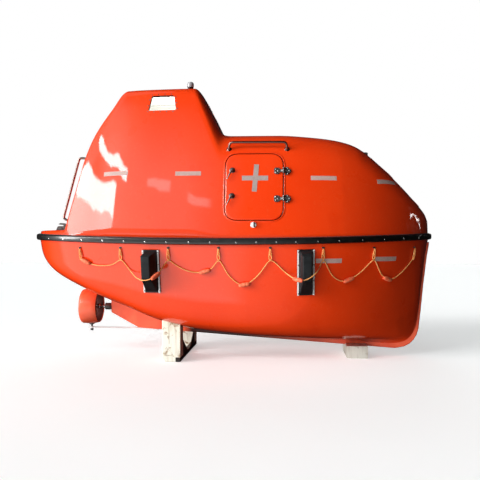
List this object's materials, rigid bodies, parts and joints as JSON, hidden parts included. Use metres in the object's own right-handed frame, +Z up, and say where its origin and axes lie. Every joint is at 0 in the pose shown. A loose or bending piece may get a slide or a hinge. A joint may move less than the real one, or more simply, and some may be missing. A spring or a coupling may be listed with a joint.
{
  "type": "enclosed lifeboat on a cradle",
  "caption": "Small fully enclosed lifeboat parked on a cradle: orange hull and canopy with a steering tower, side doors, hatches, steering nozzle, propeller, fender skates and lifelines.",
  "frame": {"origin": "on the floor under the middle of the length, on the centreline", "axes": "+X to the bow, +Y to port, +Z up; the floor is z = 0"},
  "size_m": [4.994, 2.5618, 3.49],
  "materials": {
    "orange_gelcoat": "glossy orange-red gelcoat on glass-reinforced plastic",
    "black_rubber": "matt black rubber, dusty",
    "lamp_plastic": "black plastic base under a clear dome",
    "rope": "twisted orange rope with salmon floats",
    "glazing": "clear glazing",
    "bronze": "cast bronze",
    "white_moulding": "off-white moulded plastic",
    "engine_paint": "plain blue-grey paint",
    "cream_paint": "cream-yellow paint, chipped, with rust",
    "rusted_paint": "dark paint with rust",
    "stainless_steel": "stainless steel, a little dull"
  },
  "bodies": {
    "boat": {"hull": "orange_gelcoat", "keel": "orange_gelcoat", "canopy": "orange_gelcoat", "gunwale_fender": "black_rubber", "lifeline_starboard": "rope", "lifeline_port": "rope", "door_hinge_starboard_1": "stainless_steel", "door_hinge_port_1": "stainless_steel", "door_hinge_starboard_2": "stainless_steel", "door_hinge_port_2": "stainless_steel", "roof_hatch_hinge": "stainless_steel", "aft_hatch_hinge": "stainless_steel", "bow_hatch_hinge": "stainless_steel", "door_rail_starboard": "stainless_steel", "door_rail_port": "stainless_steel", "window_starboard": "glazing", "window_port": "glazing", "window_front": "glazing", "window_aft": "glazing", "aft_rail_starboard": "stainless_steel", "aft_rail_port": "stainless_steel", "lamp": "lamp_plastic", "sole_piece": "stainless_steel", "skate_plate_starboard_aft": "stainless_steel", "skate_plate_port_aft": "stainless_steel", "skate_block_starboard_aft": "black_rubber", "skate_block_port_aft": "black_rubber", "skate_plate_starboard_forward": "stainless_steel", "skate_plate_port_forward": "stainless_steel", "skate_block_starboard_forward": "black_rubber", "skate_block_port_forward": "black_rubber", "hook_aft": "stainless_steel", "hook_forward": "stainless_steel", "bench_starboard": "white_moulding", "bench_port": "white_moulding", "engine": "engine_paint", "helm_seat": "white_moulding", "cradle_block_starboard": "cream_paint", "cradle_block_port": "cream_paint", "cradle_beam": "rusted_paint", "cradle_chock": "cream_paint"},
    "door_starboard": {"door_starboard": "orange_gelcoat", "door_handle_starboard_upper": "stainless_steel", "door_handle_starboard_lower": "stainless_steel"},
    "door_port": {"door_port": "orange_gelcoat", "door_handle_port_upper": "stainless_steel", "door_handle_port_lower": "stainless_steel"},
    "roof_hatch": {"roof_hatch": "orange_gelcoat"},
    "aft_hatch": {"aft_hatch": "orange_gelcoat"},
    "bow_hatch": {"bow_hatch": "orange_gelcoat"},
    "nozzle": {"nozzle": "orange_gelcoat"},
    "propeller": {"propeller": "bronze"}
  },
  "joints": [
    {"name": "door_starboard_hinge", "type": "hinge", "parent": "boat", "child": "door_starboard", "pos_m": [0.667, -0.9044, 2.0662], "axis": [0, 0.2588, 0.9659], "range_deg": [0, 105]},
    {"name": "door_port_hinge", "type": "hinge", "parent": "boat", "child": "door_port", "pos_m": [0.667, 0.9044, 2.0662], "axis": [0, 0.2588, -0.9659], "range_deg": [0, 105]},
    {"name": "roof_hatch_hinge", "type": "hinge", "parent": "boat", "child": "roof_hatch", "pos_m": [-1.159, 0, 3.32], "axis": [0, -1, 0], "range_deg": [0, 110]},
    {"name": "aft_hatch_hinge", "type": "hinge", "parent": "boat", "child": "aft_hatch", "pos_m": [-1.8373, 0.284, 2.1152], "axis": [-0.2252, 0, -0.9743], "range_deg": [0, 100]},
    {"name": "bow_hatch_hinge", "type": "hinge", "parent": "boat", "child": "bow_hatch", "pos_m": [1.686, 0, 2.5183], "axis": [0, -1, 0], "range_deg": [0, 100]},
    {"name": "nozzle_steering", "type": "hinge", "parent": "boat", "child": "nozzle", "pos_m": [-1.841, 0, 0.588], "axis": [0, 0, 1], "range_deg": [-30, 30]},
    {"name": "propeller_shaft", "type": "hinge", "parent": "boat", "child": "propeller", "pos_m": [-1.841, 0, 0.588], "axis": [1, 0, 0], "continuous": true}
  ]
}
